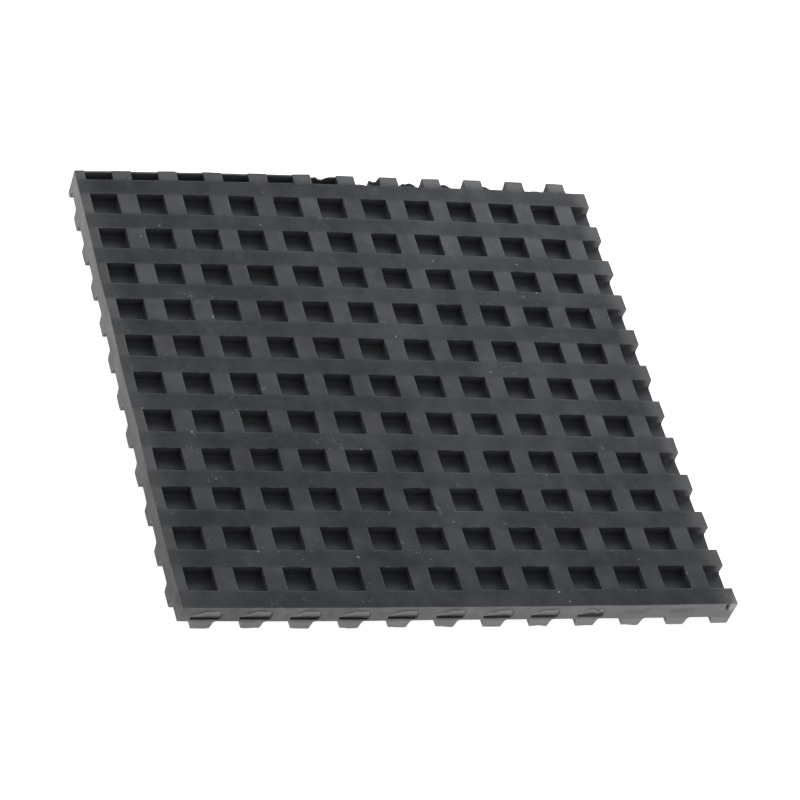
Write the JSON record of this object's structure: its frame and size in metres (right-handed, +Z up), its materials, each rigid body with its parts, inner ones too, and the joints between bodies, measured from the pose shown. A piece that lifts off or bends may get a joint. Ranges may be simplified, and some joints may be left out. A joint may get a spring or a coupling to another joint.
{
  "type": "anti vibration machine pad",
  "caption": "Square black rubber pad with a grid of ribs and blind pockets on both faces, laid under a machine's foot to take up vibration.",
  "frame": {"origin": "middle of the bottom face, where the lower ribs meet the floor", "axes": "+X to the right and +Y to the back of the pictured top face, +Z up through the thickness"},
  "size_m": [0.15, 0.15, 0.0085],
  "materials": {
    "rubber": "matte moulded top, rougher lighter cut edges"
  },
  "bodies": {
    "root": {"pad": "rubber"}
  },
  "joints": []
}
